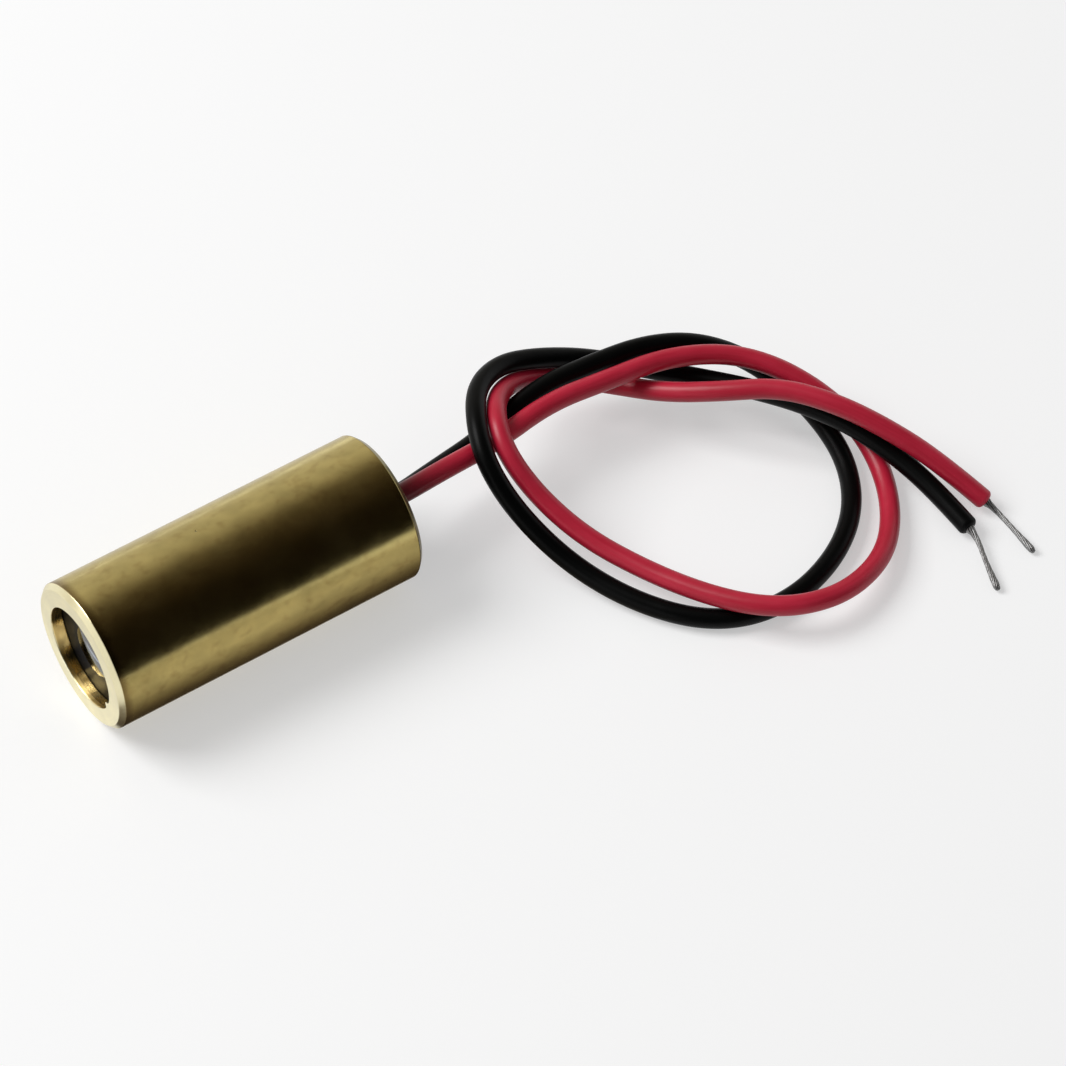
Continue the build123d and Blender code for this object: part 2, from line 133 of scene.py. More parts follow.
class Value:
    """An output of a node tree. Arithmetic on it adds Math nodes to the tree."""

    def __init__(self, tree, socket):
        self.tree = tree
        self.socket = socket

    def out(self, name):
        """Another output of the same node."""
        return Value(self.tree, self.socket.node.outputs[name])

    def math(self, operation, *others):
        return self.tree.node("ShaderNodeMath", {"operation": operation}, dict(enumerate((self, *others))))

    def reflected(self, operation, other):
        return self.tree.node("ShaderNodeMath", {"operation": operation}, {0: other, 1: self})

    def __add__(self, other):
        return self.math("ADD", other)

    def __mul__(self, other):
        return self.math("MULTIPLY", other)

    def __sub__(self, other):
        return self.math("SUBTRACT", other)

    def __truediv__(self, other):
        return self.math("DIVIDE", other)

    def __rsub__(self, other):
        return self.reflected("SUBTRACT", other)

    def __rtruediv__(self, other):
        return self.reflected("DIVIDE", other)

    __radd__ = __add__
    __rmul__ = __mul__


class Tree:
    """A node tree that is built by expressions."""

    def __init__(self, tree):
        self.tree = tree

    def node(self, kind, settings=None, sockets=None, output=0):
        """Adds a node, sets it up, then gives its sockets their values or links."""
        made = self.tree.nodes.new(kind)
        for name, setting in (settings or {}).items():
            if name == "curve":
                self.set_curve(made.mapping, setting)
            else:
                setattr(made, name, setting)
        for name, value in (sockets or {}).items():
            if isinstance(value, Value):
                self.tree.links.new(value.socket, made.inputs[name])
            else:
                made.inputs[name].default_value = value
        return Value(self, made.outputs[output]) if made.outputs else None

    @staticmethod
    def set_curve(mapping, points):
        line = mapping.curves[0].points
        while len(line) < len(points):
            line.new(0.5, 0.5)
        for point, place in zip(line, points):
            point.location = place
        mapping.update()

    def vector(self, operation, *sockets):
        settings = {"operation": operation}
        if operation == "SCALE":
            return self.node("ShaderNodeVectorMath", settings, {"Vector": sockets[0], "Scale": sockets[1]})
        return self.node("ShaderNodeVectorMath", settings, dict(enumerate(sockets)))

    def combine(self, x, y, z):
        return self.node("ShaderNodeCombineXYZ", None, {"X": x, "Y": y, "Z": z})

    def split(self, vector):
        parts = self.node("ShaderNodeSeparateXYZ", None, {"Vector": vector})
        return parts.out("X"), parts.out("Y"), parts.out("Z")

    def step(self, value, low, high):
        """0 below low, 1 above high and smooth between."""
        settings = {"interpolation_type": "SMOOTHSTEP"}
        return self.node("ShaderNodeMapRange", settings, {"Value": value, "From Min": low, "From Max": high})


class Finish(Tree):
    """A procedural material with one shader. Its place is the piece's own coordinates, in millimetres."""

    def __init__(self, name, constants):
        self.material = bpy.data.materials.new(name)
        self.material.use_nodes = True
        super().__init__(self.material.node_tree)
        self.tree.nodes.clear()
        surface = self.node("ShaderNodeBsdfPrincipled", None, constants)
        self.shader = surface.socket.node
        self.node("ShaderNodeOutputMaterial", None, {"Surface": surface})
        metres = self.node("ShaderNodeTexCoord").out("Object")
        self.place = self.vector("SCALE", metres, 1 / MM)

    def feed(self, **sockets):
        for name, value in sockets.items():
            self.tree.links.new(value.socket, self.shader.inputs[name.replace("_", " ")])

    def noise(self, place, stretch, detail=2.0, roughness=0.5):
        """Noise from 0 to 1, with so many features a millimetre along each axis."""
        scaled = self.vector("MULTIPLY", place, stretch)
        sockets = {"Vector": scaled, "Scale": 1.0, "Detail": detail, "Roughness": roughness}
        return self.node("ShaderNodeTexNoise", None, sockets)

    def spots(self, place, density, low, high):
        """Sparse round spots: 1 in the middle of a spot, 0 between."""
        cells = self.node("ShaderNodeTexVoronoi", None, {"Vector": place, "Scale": density})
        size = self.split(cells.out("Color"))[0]
        return 1 - self.step(cells / (0.02 + size), low, high)

    def mix(self, factor, one, other):
        return self.node("ShaderNodeMix", {"data_type": "RGBA"}, {0: factor, 6: one, 7: other}, output=2)

    def shade(self, colour, level):
        """A colour times a level."""
        settings = {"data_type": "RGBA", "blend_type": "MULTIPLY"}
        grey = self.combine(level, level, level)
        return self.node("ShaderNodeMix", settings, {0: 1.0, 6: colour, 7: grey}, output=2)

    def bump(self, *layers):
        """Normal from layers of (height, depth in millimetres), each over the one before."""
        normal = None
        for height, depth in layers:
            sockets = {"Height": height, "Distance": depth * MM, "Strength": 1.0}
            if normal:
                sockets["Normal"] = normal
            normal = self.node("ShaderNodeBump", None, sockets)
        return normal


class Shape(Tree):
    """A Geometry Nodes tree with named sizes, which is run on an object and leaves a plain mesh."""

    def __init__(self, name, sizes):
        super().__init__(bpy.data.node_groups.new(name, "GeometryNodeTree"))
        interface = self.tree.interface
        interface.new_socket("Geometry", in_out="OUTPUT", socket_type="NodeSocketGeometry")
        self.sockets = {}
        for size, kind in {"Geometry": "Geometry", **sizes, "Finish": "Material"}.items():
            self.sockets[size] = interface.new_socket(size, in_out="INPUT", socket_type="NodeSocket" + kind)
        self.group = self.node("NodeGroupInput")

    def size(self, name):
        return self.group.out(name)

    def join(self, *parts):
        """Several geometries as one."""
        joined = self.node("GeometryNodeJoinGeometry")
        for part in parts:
            self.tree.links.new(part.socket, joined.socket.node.inputs[0])
        return joined

    def close(self, geometry):
        """The end of the tree: a smooth, real mesh with its finish."""
        smooth = self.node("GeometryNodeSetShadeSmooth", None, {"Geometry": geometry})
        real = self.node("GeometryNodeRealizeInstances", None, {"Geometry": smooth})
        sockets = {"Geometry": real, "Material": self.size("Finish")}
        done = self.node("GeometryNodeSetMaterial", None, sockets)
        self.node("NodeGroupOutput", None, {"Geometry": done})

    def run(self, source, name, **sizes):
        """Runs the tree on a source object, and gives the result as a new object."""
        modifier = source.modifiers.new(self.tree.name, "NODES")
        modifier.node_group = self.tree
        for size, value in sizes.items():
            modifier[self.sockets[size.replace("_", " ")].identifier] = value
        mesh = evaluated_mesh(source)
        source.modifiers.remove(modifier)
        mesh.name = name
        return link(bpy.data.objects.new(name, mesh))


def link(obj):
    bpy.context.scene.collection.objects.link(obj)
    return obj


def evaluated_mesh(obj):
    depsgraph = bpy.context.evaluated_depsgraph_get()
    return bpy.data.meshes.new_from_object(obj.evaluated_get(depsgraph), depsgraph=depsgraph)


def outward(mesh, gap=1e-7):
    """Merges doubles and turns every face outwards."""
    bm = bmesh.new()
    bm.from_mesh(mesh)
    bmesh.ops.remove_doubles(bm, verts=bm.verts, dist=gap)
    bmesh.ops.recalc_face_normals(bm, faces=bm.faces)
    bm.to_mesh(mesh)
    bm.free()


# Finishes

SIDE_BRASS = (0.62, 0.51, 0.2, 1)
FACED_BRASS = (0.84, 0.77, 0.5, 1)
BORED_BRASS = (1.0, 0.75, 0.3, 1)
TARNISH = (0.3, 0.17, 0.05, 1)
MASK_BLEND = 0.03
SMEAR_OFFSET = (7.3, 2.1, 5.9)

# Places in the aperture with painted reflection lobes in the colour, where the wall is also smoother and
# bent outwards, as (turn, spread, share), and how far their wall is bent outwards
PAINTED_GLINT_PLACES = [(radians(248.0), radians(24.0), 0.85), (radians(206.0), radians(16.0), 0.2),
                 (radians(184.0), radians(20.0), 0.5), (radians(155.0), radians(20.0), 0.4)]
FLARE = 0.36

RED_DEEP, RED_PALE, RED_GLOSS = (0.33, 0.002, 0.013, 1), (0.78, 0.03, 0.08, 1), 0.38
BLACK_DEEP, BLACK_PALE, BLACK_GLOSS = (0.001, 0.001, 0.001, 1), (0.0035, 0.004, 0.004, 1), 0.09
# Painted shade on the leads behind the barrel: where it fades out, in mm along the lead from its start in
# the resin, and how much darker it makes them
EXIT_SHADE_SPAN = (3.0, 9.0)
EXIT_PAINTED_SHADE = 0.78
RESIN_DARK, RESIN_DUSTY = (0.008, 0.008, 0.009, 1), (0.05, 0.05, 0.055, 1)
DUST_OFFSET = (3.1, 1.7, 4.3)
TIN_DARK, TIN_LIGHT = (0.1, 0.1, 0.1, 1), (0.36, 0.36, 0.36, 1)


def turned_brass():
    """Turned brass: a dulled, mottled outside, a bright faced front and a bore with painted reflection
    lobes, bright at the listed turns and darker between.
    """
    finish = Finish("satin_brass", {"Metallic": 1.0})
    x, y, z = finish.split(finish.place)
    radius = finish.vector("LENGTH", finish.combine(x, 0.0, z)).out("Value")
    side_start, side_end = FRONT + EDGE_CHAMFER, REAR - EDGE_CHAMFER
    front = 1 - finish.step(y, side_start - MASK_BLEND, side_start + MASK_BLEND)
    inside = 1 - finish.step(radius, BORE_R + 0.05, BORE_R + 0.15)
    bore = finish.step(y, FRONT + 0.04, FRONT + 0.1) * inside
    front_edge = (1 - finish.step(y, side_start, side_start + 0.6)) * (1 - front)
    rear_edge = finish.step(y, side_end - 0.08, side_end + 0.04) * (1 - bore)
    rounds = finish.noise(finish.combine(0.0, y, 0.0), (0.0, 5.0, 0.0), 1.0, 0.5)
    rings = finish.noise(finish.combine(radius, 0.0, 0.0), (6.0, 0.0, 0.0), 1.0, 0.5)
    lines = rounds + front * (rings - rounds)
    cloud = finish.noise(finish.place, (0.35, 0.22, 0.35), 1.0, 0.5)
    mottle = finish.noise(finish.place, (1.1, 0.7, 1.1), 1.0, 0.5)
    dents = finish.noise(finish.place, (0.8, 0.5, 0.8), 1.0, 0.5)
    smear = finish.noise(finish.vector("ADD", finish.place, SMEAR_OFFSET), (0.7, 0.5, 0.7), 1.0, 0.5)
    freckles = finish.step(finish.noise(finish.place, (1.7, 1.5, 1.7), 1.0, 0.5), 0.48, 0.84)
    # Lobes at the listed turns: they brighten the bore's colour as painted reflection, and also make the
    # wall smoother and bend it outwards
    polish_and_painted_glint = 0.1 * smear
    for turn, spread, share in PAINTED_GLINT_PLACES:
        facing = (x * sin(turn) + z * cos(turn)) / radius
        polish_and_painted_glint = polish_and_painted_glint + share * finish.step(facing, cos(spread), 1.0)
    pits = finish.spots(finish.place, 0.35, 0.022, 0.04) * (1 - front)
    level = 0.64 + 0.32 * cloud + 0.4 * mottle
    worn = 1 - 0.6 * pits - 0.35 * front_edge - 0.7 * rear_edge
    stained = finish.mix(0.6 * front_edge + 0.3 * freckles * (1 - front_edge), SIDE_BRASS, TARNISH)
    dulled = finish.shade(stained, level * worn)
    cut = finish.shade(FACED_BRASS, 0.8 + 0.1 * lines + 0.3 * smear)
    # painted reflection: the bore's colour bright at the listed turns and darker between them
    bore_painted_glints = finish.shade(BORED_BRASS, 0.4 + 0.6 * polish_and_painted_glint)
    colour = finish.mix(bore, finish.mix(front, dulled, cut), bore_painted_glints)
    rough = 0.13 + 0.12 * smear + 0.04 * lines + 0.1 * pits + 0.1 * front + bore * (0.12 * polish_and_painted_glint - 0.02)
    finish.feed(Base_Color=colour, Roughness=rough)
    flare = bore * polish_and_painted_glint * (y - FRONT)
    finish.feed(Normal=finish.bump((lines, 0.0022), (dents, 0.01), (1 - pits, 0.01), (flare, FLARE)))
    return finish.material


def insulation(name, deep, pale, gloss, length):
    """Extruded insulation: drawing lines, clouds, dust, painted shade near the exit where the barrel shades
    the lead, and a duller cut end.
    """
    finish = Finish(name, {"Specular IOR Level": gloss})
    metres = finish.node("ShaderNodeAttribute", {"attribute_name": "lead_place"}).out("Vector")
    place = finish.vector("SCALE", metres, 1 / MM)
    along = finish.split(place)[2]
    lines = finish.noise(place, (7.0, 7.0, 0.25), 2.0, 0.6)
    cloud = finish.noise(place, (0.8, 0.8, 0.3), 3.0, 0.6)
    grain = finish.noise(place, (16.0, 16.0, 12.0), 2.0, 0.6)
    dust = finish.spots(place, 1.3, 0.05, 0.08)
    cut = finish.step(along, length / MM - 0.5, length / MM - 0.1)
    # painted shade: the lead darker near the barrel, standing in for the barrel's shadow on it
    painted_exit_shade = 1 - finish.step(along, *EXIT_SHADE_SPAN)
    tone = finish.mix(0.55 * cloud + 0.3 * lines + 0.15 * dust + 0.2 * cut, deep, pale)
    finish.feed(Base_Color=finish.shade(tone, 1 - EXIT_PAINTED_SHADE * painted_exit_shade))
    finish.feed(Roughness=0.25 + 0.14 * cloud + 0.08 * lines + 0.15 * cut)
    finish.feed(Normal=finish.bump((cloud, 0.03), (lines, 0.004), (grain, 0.0012)))
    return finish.material


def drawn_metal(name, dark, light, rough):
    """Small metal parts: streaky tone and an uneven gloss."""
    finish = Finish(name, {"Metallic": 1.0})
    streaks = finish.noise(finish.place, (9.0, 2.5, 9.0), 3.0, 0.6)
    cloud = finish.noise(finish.place, (1.5, 1.5, 1.5), 2.0, 0.5)
    finish.feed(Base_Color=finish.mix(0.6 * streaks + 0.4 * cloud, dark, light))
    finish.feed(Roughness=rough + 0.15 * (cloud - 0.5) + 0.1 * streaks)
    finish.feed(Normal=finish.bump((streaks, 0.003)))
    return finish.material


def moulded(name, dark, light, rough, grain=12.0, gloss=0.5):
    """Moulded, fired or laminated matter: a fine grain and slight clouds."""
    finish = Finish(name, {"Specular IOR Level": gloss})
    cloud = finish.noise(finish.place, (1.2, 1.2, 1.2), 3.0, 0.6)
    fine = finish.noise(finish.place, (grain, grain, grain), 2.0, 0.6)
    finish.feed(Base_Color=finish.mix(0.5 * cloud + 0.5 * fine, dark, light))
    finish.feed(Roughness=rough + 0.12 * (cloud - 0.5) + 0.1 * (fine - 0.5))
    finish.feed(Normal=finish.bump((fine, 0.004)))
    return finish.material


def clear(name, tint, ior, rough):
    """Clear moulding or glass, with a trace of unevenness."""
    finish = Finish(name, {"Transmission Weight": 1.0, "IOR": ior})
    haze = finish.noise(finish.place, (1.5, 1.5, 1.5), 3.0, 0.6)
    finish.feed(Base_Color=finish.mix(haze, (*[0.94 * c for c in tint[:3]], 1.0), tint))
    finish.feed(Roughness=rough + 0.03 * haze)
    return finish.material


def set_resin():
    """Black potting resin: glossy, with small bubbles and dust."""
    finish = Finish("set_resin", {"Specular IOR Level": 0.5})
    cloud = finish.noise(finish.place, (0.9, 0.9, 0.9), 3.0, 0.6)
    bubbles = finish.spots(finish.place, 1.5, 0.08, 0.13)
    dust = finish.spots(finish.vector("ADD", finish.place, DUST_OFFSET), 2.4, 0.04, 0.07)
    finish.feed(Base_Color=finish.mix(0.5 * cloud + 0.5 * dust, RESIN_DARK, RESIN_DUSTY))
    finish.feed(Roughness=0.14 + 0.14 * cloud + 0.3 * dust)
    finish.feed(Normal=finish.bump((cloud, 0.05), (1 - bubbles, 0.03)))
    return finish.material


def tinned_strand():
    """Tinned copper strands run together with solder, dulled to dark grey."""
    finish = Finish("tinned_strand", {"Metallic": 1.0})
    smear = finish.noise(finish.place, (4.0, 4.0, 4.0), 3.0, 0.6)
    fine = finish.noise(finish.place, (18.0, 18.0, 18.0), 2.0, 0.6)
    finish.feed(Base_Color=finish.mix(0.7 * smear + 0.3 * fine, TIN_DARK, TIN_LIGHT))
    finish.feed(Roughness=0.28 + 0.2 * smear)
    finish.feed(Normal=finish.bump((smear, 0.012), (fine, 0.002)))
    return finish.material


# Shapes

def turned_shape():
    """Sweeps the object's own profile, in (radius, place), round the optical axis."""
    shape = Shape("turned", {"Segments": "Int", "Sweep Radius": "Float"})
    sweep = shape.size("Sweep Radius")
    circle = shape.node("GeometryNodeCurvePrimitiveCircle", None,
                        {"Resolution": shape.size("Segments"), "Radius": sweep})
    back = shape.combine(0.0 - sweep, 0.0, 0.0)
    profile = shape.node("GeometryNodeSetPosition", None,
                         {"Geometry": shape.size("Geometry"), "Offset": back})
    swept = shape.node("GeometryNodeCurveToMesh", None, {"Curve": circle, "Profile Curve": profile})
    lying = shape.node("GeometryNodeTransform", None, {"Geometry": swept, "Rotation": (pi / 2, 0.0, 0.0)})
    shape.close(shape.node("GeometryNodeMergeByDistance", None, {"Geometry": lying, "Distance": 1e-7}))
    return shape


def lead_shape():
    """Insulation along the object's own spline, with its far end cut and rounded off."""
    shape = Shape("insulated_lead", {"Radius": "Float", "Cut Rounding": "Float", "Stations": "Int",
                                     "Cut Stations": "Int", "Sides": "Int"})
    spline = shape.size("Geometry")
    radius, rounding = shape.size("Radius"), shape.size("Cut Rounding")
    stations, cut_stations = shape.size("Stations"), shape.size("Cut Stations")
    body = shape.node("GeometryNodeCurveLength", None, {"Curve": spline}) - rounding
    index = shape.node("GeometryNodeInputIndex")
    body_share = (index / stations).math("MINIMUM", 1.0)
    cut_turn = ((index - stations) / (cut_stations - 1)).math("MAXIMUM", 0.0) * (pi / 2)
    along = body_share * body + rounding * cut_turn.math("SINE")
    girth = radius - rounding * (1 - cut_turn.math("COSINE"))
    row = shape.node("GeometryNodeMeshLine", None, {"Count": stations + cut_stations})
    there = shape.node("GeometryNodeSampleCurve", {"mode": "LENGTH"}, {"Curves": spline, "Length": along})
    laid = shape.node("GeometryNodeSetPosition", None, {"Geometry": row, "Position": there.out("Position")})
    held = shape.node("GeometryNodeStoreNamedAttribute", {"data_type": "FLOAT", "domain": "POINT"},
                      {"Geometry": laid, "Name": "along", "Value": along})
    girthed = shape.node("GeometryNodeStoreNamedAttribute", {"data_type": "FLOAT", "domain": "POINT"},
                         {"Geometry": held, "Name": "girth", "Value": girth})
    line = shape.node("GeometryNodeMeshToCurve", None, {"Mesh": girthed})
    ring = shape.node("GeometryNodeCurvePrimitiveCircle", None,
                      {"Resolution": shape.size("Sides"), "Radius": 1.0})
    spot = shape.node("GeometryNodeInputPosition")
    marked = shape.node("GeometryNodeStoreNamedAttribute", {"data_type": "FLOAT_VECTOR", "domain": "POINT"},
                        {"Geometry": ring, "Name": "lead_place", "Value": spot})
    named_girth = shape.node("GeometryNodeInputNamedAttribute", {"data_type": "FLOAT"}, {"Name": "girth"})
    tube = shape.node("GeometryNodeCurveToMesh", None,
                      {"Curve": line, "Profile Curve": marked, "Scale": named_girth, "Fill Caps": True})
    round_place = shape.node("GeometryNodeInputNamedAttribute", {"data_type": "FLOAT_VECTOR"},
                             {"Name": "lead_place"})
    named_along = shape.node("GeometryNodeInputNamedAttribute", {"data_type": "FLOAT"}, {"Name": "along"})
    x, y, _ = shape.split(round_place)
    place = shape.combine(x * named_girth, y * named_girth, named_along)
    placed = shape.node("GeometryNodeStoreNamedAttribute", {"data_type": "FLOAT_VECTOR", "domain": "POINT"},
                        {"Geometry": tube, "Name": "lead_place", "Value": place})
    shape.close(placed)
    return shape


def tip_shape():
    """Strands laid round the object's own spline and run together with solder."""
    shape = Shape("twisted_tip", {"Widest": "Float", "Strands": "Int", "Turns": "Float", "Stations": "Int"})
    line = shape.node("GeometryNodeResampleCurve", {"mode": "COUNT"},
                      {"Curve": shape.size("Geometry"), "Count": shape.size("Stations")})
    share = shape.node("GeometryNodeSplineParameter").out("Factor")
    girth = shape.node("ShaderNodeFloatCurve", {"curve": WAIST}, {"Value": share}) * shape.size("Widest")
    copies = shape.node("GeometryNodeDuplicateElements", {"domain": "SPLINE"},
                        {"Geometry": line, "Amount": shape.size("Strands")})
    turn = (copies.out("Duplicate Index") / shape.size("Strands") + share * shape.size("Turns")) * tau
    normal = shape.node("GeometryNodeInputNormal")
    across = shape.vector("CROSS_PRODUCT", shape.node("GeometryNodeInputTangent"), normal)
    lay = girth * STRAND_LAY
    out = shape.vector("ADD", shape.vector("SCALE", normal, turn.math("COSINE") * lay),
                       shape.vector("SCALE", across, turn.math("SINE") * lay))
    laid = shape.node("GeometryNodeSetPosition", None, {"Geometry": copies, "Offset": out})
    wire = shape.node("GeometryNodeCurvePrimitiveCircle", None, {"Resolution": STRAND_SIDES, "Radius": 1.0})
    strands = shape.node("GeometryNodeCurveToMesh", None,
                         {"Curve": laid, "Profile Curve": wire, "Scale": girth * STRAND_GIRTH,
                          "Fill Caps": True})
    solder = shape.node("GeometryNodeCurveToMesh", None,
                        {"Curve": line, "Profile Curve": wire, "Scale": girth * SOLDER_GIRTH,
                         "Fill Caps": True})
    shape.close(shape.join(strands, solder))
    return shape


def profile_curve(name, points, cyclic):
    """A line of (radius, place) points in the XY plane, for the turned shape to sweep."""
    curve = bpy.data.curves.new(name, "CURVE")
    spline = curve.splines.new("POLY")
    spline.points.add(len(points) - 1)
    for point, (radius, place) in zip(spline.points, points):
        point.co = (radius * MM, place * MM, 0.0, 1.0)
    spline.use_cyclic_u = cyclic
    return link(bpy.data.objects.new(name, curve))


def eased(corners, steps=4):
    """A closed profile with each (radius, place, ease) corner broken by a small arc."""
    points = []
    for i, (r, y, ease) in enumerate(corners):
        corner = Vector((r, y))
        before = (Vector(corners[i - 1][:2]) - corner).normalized()
        after = (Vector(corners[(i + 1) % len(corners)][:2]) - corner).normalized()
        start, end = corner + before * ease, corner + after * ease
        points.append(tuple(start + before * ease * 0.5))
        for k in range(steps + 1):
            t = k / steps
            points.append(tuple((1 - t) ** 2 * start + 2 * t * (1 - t) * corner + t ** 2 * end))
        points.append(tuple(end + after * ease * 0.5))
    return points


def dome_points(rim_r, rim_y, apex_y, steps=20):
    """A spherical face from its rim to the axis."""
    sag = abs(apex_y - rim_y)
    radius = (rim_r ** 2 + sag ** 2) / (2 * sag)
    way = 1 if apex_y > rim_y else -1
    edge = atan2(rim_r, radius - sag)
    turns = [edge * (1 - k / steps) for k in range(steps + 1)]
    return [(radius * sin(a), apex_y - way * radius * (1 - cos(a))) for a in turns]


def make_barrel(shape, finish):
    corners = [
        (APERTURE_R, FRONT, 0.05), (BARREL_R - EDGE_CHAMFER, FRONT, 0.04),
        (BARREL_R, FRONT + EDGE_CHAMFER, 0.05), (BARREL_R, REAR - EDGE_CHAMFER, 0.05),
        (BARREL_R - EDGE_CHAMFER, REAR, 0.04), (BORE_R + MOUTH_CHAMFER, REAR, 0.04),
        (BORE_R, REAR - MOUTH_CHAMFER, 0.04), (BORE_R, LIP_BACK, 0.03), (APERTURE_R, LIP_BACK, 0.05),
    ]
    source = profile_curve("barrel_profile", eased(corners), True)
    barrel = shape.run(source, "turned_barrel", Segments=BARREL_SEGMENTS, Sweep_Radius=BARREL_R * MM,
                       Finish=finish)
    bpy.data.objects.remove(source)
    outward(barrel.data)
    raise_burr(barrel.data)
    return barrel


def raise_burr(mesh):
    """A small burr on the aperture's edge, pushed in towards the axis."""
    for vertex in mesh.vertices:
        x, y, z = vertex.co / MM
        off = (atan2(x, z) - BURR_TURN) / BURR_SPREAD
        deep = (y - FRONT) / BURR_DEPTH
        if hypot(x, z) < APERTURE_R + BURR_EDGE and abs(off) < BURR_REACH:
            share = 1 - BURR_HEIGHT / APERTURE_R * exp(-off ** 2 - deep ** 2)
            vertex.co = Vector((x * share, y, z * share)) * MM


def make_lens(shape, finish, edge_finish):
    """The lens: clear domes in a blackened rim."""
    front = dome_points(FRONT_DOME_R, LIP_BACK, LIP_BACK - FRONT_DOME_SAG)
    rear = dome_points(REAR_DOME_R, LENS_BACK, LENS_BACK + REAR_DOME_SAG)
    edge = [(LENS_R, LIP_BACK), (LENS_R, LENS_BACK)]
    source = profile_curve("lens_profile", [*reversed(front), *edge, *rear], False)
    lens = shape.run(source, "moulded_lens", Segments=LENS_SEGMENTS, Sweep_Radius=LENS_R * MM, Finish=finish)
    bpy.data.objects.remove(source)
    outward(lens.data)
    lens.data.materials.append(edge_finish)
    for polygon in lens.data.polygons:
        polygon.use_smooth = True
        clear_r = FRONT_DOME_R if polygon.normal.y < 0 else REAR_DOME_R
        polygon.material_index = int(hypot(polygon.center.x, polygon.center.z) > clear_r * MM)
    return lens


def resin_place(x, z):
    """Where the resin's rear face lies: hollow, and drawn up the bore and the leads."""
    share = hypot(x, z) / BORE_R
    place = POTTING_BACK - MENISCUS * (1 - share ** 2)
    for side in (-1, 1):
        gap = hypot(x - side * LEAD_AXIS[0], z - side * LEAD_AXIS[1]) - LEAD_R
        place += WICK_HEIGHT * exp(-max(gap, 0.0) / WICK_REACH)
    place += RIPPLE * sin(1.9 * x + 0.7) * sin(1.6 * z + 1.1)
    return place


def make_resin(finish, rings=48, sectors=128):
    """The plug as a closed mesh: rear face, wall and front face."""
    bm = bmesh.new()
    middle = bm.verts.new((0.0, resin_place(0, 0) * MM, 0.0))
    circles = []
    for i in range(1, rings + 1):
        r = BORE_R * i / rings
        spots = [(r * sin(tau * k / sectors), r * cos(tau * k / sectors)) for k in range(sectors)]
        circles.append([bm.verts.new((x * MM, resin_place(x, z) * MM, z * MM)) for x, z in spots])
    circles.append([bm.verts.new((v.co.x, POTTING_FRONT * MM, v.co.z)) for v in circles[-1]])
    for k in range(sectors):
        nxt = (k + 1) % sectors
        bm.faces.new((middle, circles[0][k], circles[0][nxt]))
        for inner, outer in zip(circles, circles[1:]):
            bm.faces.new((inner[k], outer[k], outer[nxt], inner[nxt]))
    bm.faces.new(circles[-1])
    mesh = bpy.data.meshes.new("resin_plug")
    bm.to_mesh(mesh)
    bm.free()
    outward(mesh)
    mesh.materials.append(finish)
    for polygon in mesh.polygons:
        polygon.use_smooth = len(polygon.vertices) < 5
    return link(bpy.data.objects.new("resin_plug", mesh))


def route_curve(name, points):
    """One smooth NURBS line whose control points are the route's."""
    curve = bpy.data.curves.new(name, "CURVE")
    curve.dimensions = "3D"
    curve.resolution_u = 16
    spline = curve.splines.new("NURBS")
    spline.points.add(len(points) - 1)
    for point, place in zip(spline.points, points):
        point.co = (*(Vector(place) * MM), 1.0)
    spline.order_u = 3
    spline.use_endpoint_u = True
    return link(bpy.data.objects.new(name, curve))


def line_points(curve):
    return [tuple(vertex.co) for vertex in evaluated_mesh(curve).vertices]


def line_length(points):
    return sum((Vector(b) - Vector(a)).length for a, b in zip(points, points[1:]))


def make_lead(shape, name, route, deep, pale, gloss):
    """A lead's insulation, the points that it follows and its length."""
    source = route_curve(name + "_route", route)
    path = line_points(source)
    length = line_length(path)
    finish = insulation(name + "_insulation", deep, pale, gloss, length)
    lead = shape.run(source, name + "_insulated_lead", Radius=LEAD_R * MM, Cut_Rounding=CUT_ROUNDING * MM,
                     Stations=LEAD_STATIONS, Cut_Stations=CUT_STATIONS, Sides=LEAD_SIDES, Finish=finish)
    bpy.data.objects.remove(source)
    outward(lead.data)
    return lead, path, length


def make_tip(shape, name, route, tip, finish):
    """A lead's bare end, from a little inside the insulation."""
    end = Vector(route[-1])
    ahead = (end - Vector(route[-2])).normalized()
    points = [end - ahead * TIP_ROOT, end + ahead * TIP_NECK, *tip]
    source = route_curve(name + "_tip_route", points)
    made = shape.run(source, name + "_tinned_tip", Widest=TIP_R * MM, Strands=TIP_STRANDS, Turns=TIP_TURNS,
                     Stations=TIP_STATIONS, Finish=finish)
    bpy.data.objects.remove(source)
    outward(made.data)
    return made


# The part

turned = turned_shape()
barrel = make_barrel(turned, turned_brass())
lens_black = moulded("lens_rim_black", (0.004, 0.004, 0.005, 1), (0.012, 0.012, 0.014, 1), 0.5, gloss=0.06)
lens = make_lens(turned, clear("lens_acrylic", (0.3, 0.29, 0.34, 1.0), 1.49, 0.015), lens_black)
resin = make_resin(set_resin())

lead = lead_shape()
red_lead, red_path, red_length = make_lead(
    lead, "red", RED_ROUTE, RED_DEEP, RED_PALE, RED_GLOSS)
black_lead, black_path, black_length = make_lead(
    lead, "black", BLACK_ROUTE, BLACK_DEEP, BLACK_PALE, BLACK_GLOSS)

tip = tip_shape()
strand = tinned_strand()
red_tip = make_tip(tip, "red", RED_ROUTE, RED_TIP, strand)
black_tip = make_tip(tip, "black", BLACK_ROUTE, BLACK_TIP, strand)

for piece, node, slot in [
    (barrel, "barrel", "barrel_brass"), (lens, "collimating_lens", "lens_acrylic"),
    (resin, "rear_potting", "potting_resin"), (red_lead, "red_lead", "red_insulation"),
    (black_lead, "black_lead", "black_insulation"), (red_tip, "red_tip", "tinned_metal"),
    (black_tip, "black_tip", "tinned_metal"),
]:
    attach(piece, "root")
    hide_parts(node)

